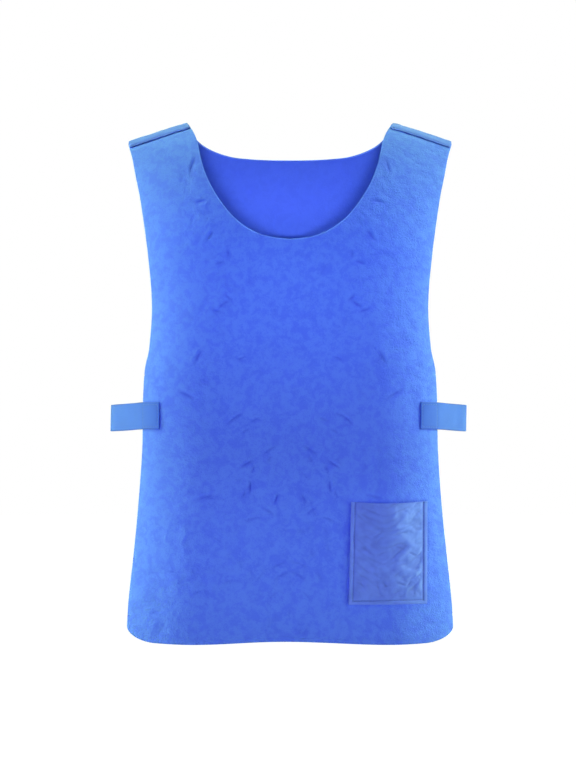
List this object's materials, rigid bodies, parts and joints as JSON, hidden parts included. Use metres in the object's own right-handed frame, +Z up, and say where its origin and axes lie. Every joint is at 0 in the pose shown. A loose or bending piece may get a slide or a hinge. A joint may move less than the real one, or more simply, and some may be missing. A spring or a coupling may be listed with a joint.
{
  "type": "cooling vest",
  "caption": "Slip-on cooling vest in its worn form, open at the sides, with a round neck, side straps and a patch pocket.",
  "frame": {"origin": "Midway between the two neck points, at the height of the cloth's inner face there, where the wearer's shoulders carry the vest.", "axes": "+Z up, the wearer faces -Y, and +X is towards the wearer's left hand."},
  "size_m": [0.4435, 0.1936, 0.6442],
  "materials": {
    "panel_cloth": "soft crinkled suede-like cloth, matt with a faint sheen",
    "band_cloth": "the same cloth folded into a smooth strip",
    "strap_webbing": "plain flat webbing, matt",
    "pocket_cloth": "thin wrinkled cloth with a slight sheen"
  },
  "bodies": {
    "root": {"front_panel": "panel_cloth", "back_panel": "panel_cloth", "shoulder_band_left": "band_cloth", "shoulder_band_right": "band_cloth", "side_strap_left": "strap_webbing", "side_strap_right": "strap_webbing", "pocket": "pocket_cloth"}
  },
  "joints": []
}
